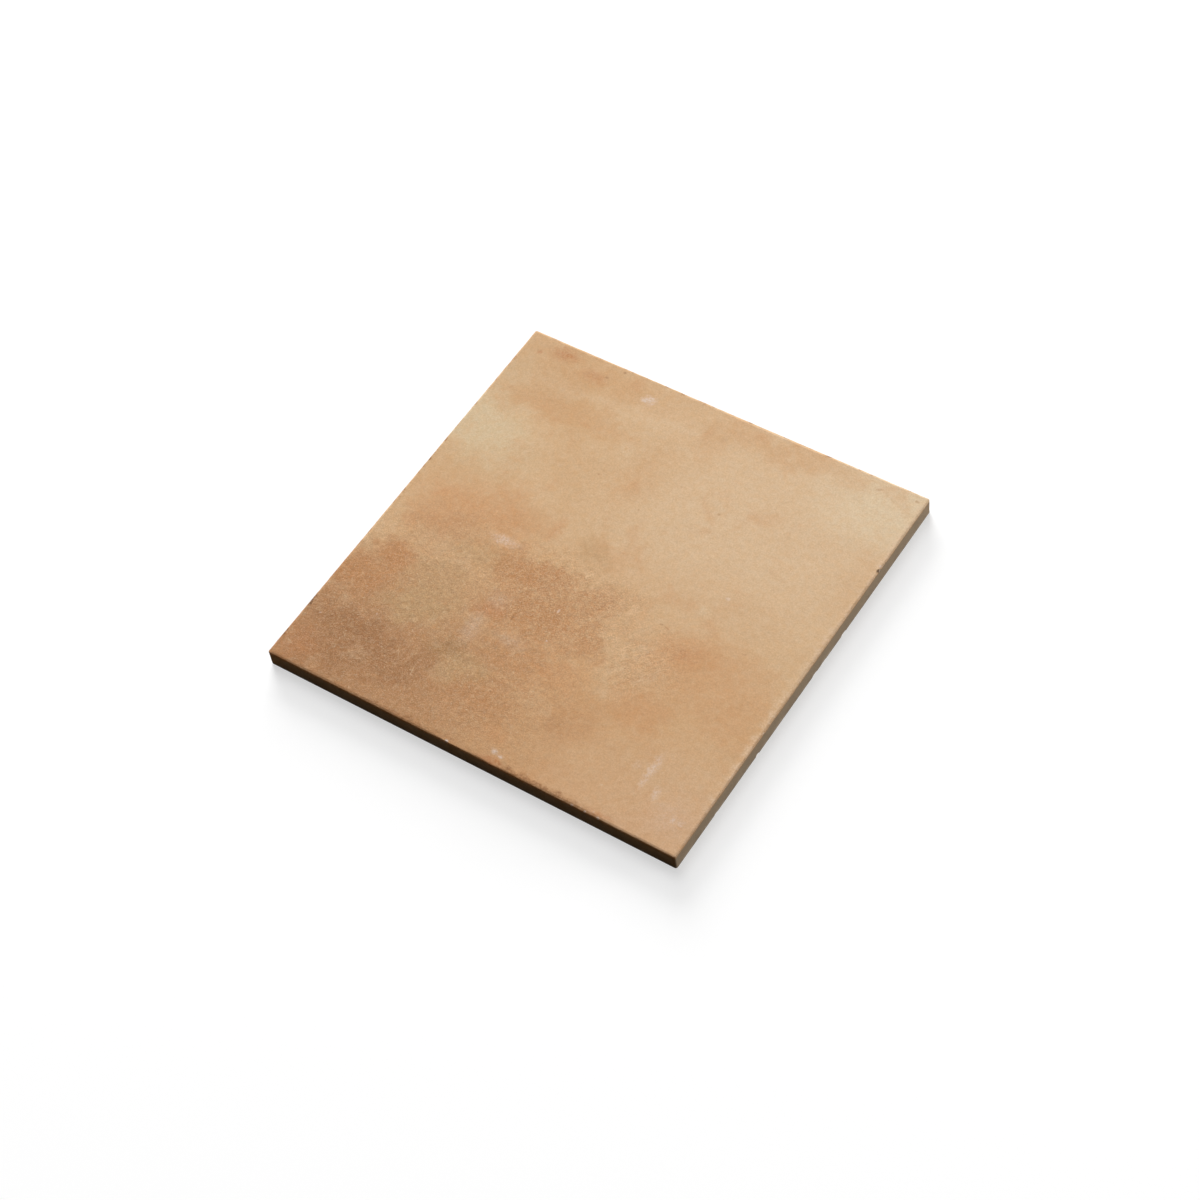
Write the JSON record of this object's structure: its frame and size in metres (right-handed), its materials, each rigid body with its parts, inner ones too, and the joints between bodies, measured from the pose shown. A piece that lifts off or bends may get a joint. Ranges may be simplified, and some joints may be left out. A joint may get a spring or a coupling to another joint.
{
  "type": "porcelain tile",
  "caption": "Square porcelain floor tile with a matt clay-coloured face, a soft wandering arris and a ribbed back, laid in adhesive as floor or wall cladding.",
  "frame": {"origin": "centre of the back, on the plane that the ribs rest on", "axes": "+Z out of the wearing face; X and Y along the sides"},
  "size_m": [0.2, 0.2, 0.0085],
  "materials": {
    "porcelain": "matt, clay-coloured face clouded from pale beige to tan brown, on a dull brown body"
  },
  "bodies": {
    "root": {"tile": "porcelain"}
  },
  "joints": []
}
